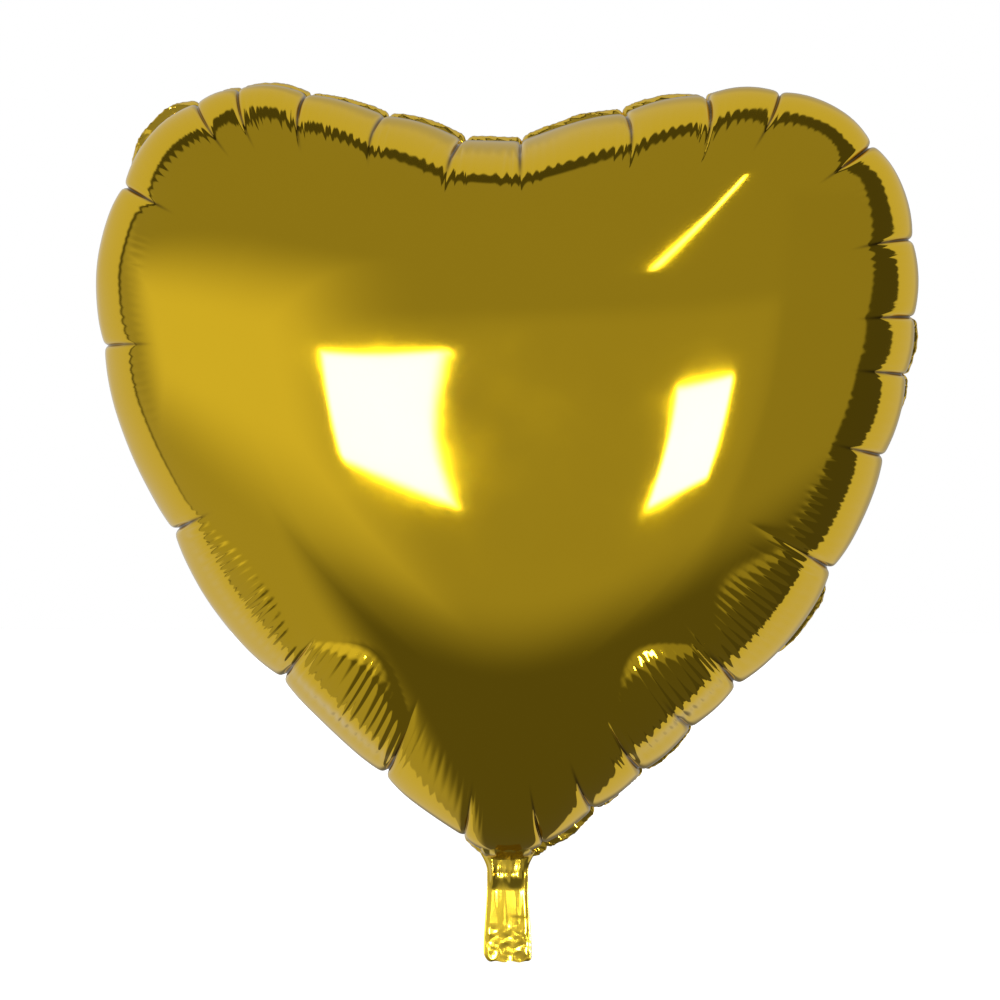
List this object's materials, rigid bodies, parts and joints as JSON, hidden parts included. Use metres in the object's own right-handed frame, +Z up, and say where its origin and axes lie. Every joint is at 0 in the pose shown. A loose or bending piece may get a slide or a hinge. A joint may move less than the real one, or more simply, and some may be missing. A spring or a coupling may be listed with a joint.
{
  "type": "heart-shaped foil balloon",
  "caption": "Inflated heart-shaped balloon of gold metallised film, with a heat-sealed edge, a flat filler tail that folds at the neck, and a self-sealing valve inside.",
  "frame": {"origin": "the middle of the neck, where a ribbon is tied and the filler tail folds", "axes": "+Z up from the neck to the heart's notch, the front faces -Y, +X to the right as seen from the front"},
  "size_m": [0.376, 0.1514, 0.4031],
  "materials": {
    "gold_foil": "metallised film, mirror-bright gold",
    "sealed_foil": "metallised film, heat-sealed and finely crinkled",
    "valve_film": "clear polyethylene film"
  },
  "bodies": {
    "envelope": {"front_panel": "gold_foil", "back_panel": "gold_foil", "seam_flange": "sealed_foil", "valve_neck_front_ply": "valve_film", "valve_neck_back_ply": "valve_film"},
    "valve": {"valve_sleeve_front_ply": "valve_film", "valve_sleeve_back_ply": "valve_film", "valve_sleeve_welds": "valve_film"},
    "tail": {"tail_front_film": "gold_foil", "tail_back_film": "gold_foil", "tail_side_welds": "sealed_foil", "valve_tail_front_ply": "valve_film", "valve_tail_back_ply": "valve_film", "valve_anchor_welds": "valve_film"}
  },
  "joints": [
    {"name": "tail_fold", "type": "hinge", "parent": "envelope", "child": "tail", "pos_m": [0, 0, 0], "axis": [1, 0, 0], "range_deg": [-125, 125]},
    {"name": "valve_sway", "type": "hinge", "parent": "envelope", "child": "valve", "pos_m": [0, 0, 0.0305], "axis": [1, 0, 0], "range_deg": [-55, 55]}
  ]
}
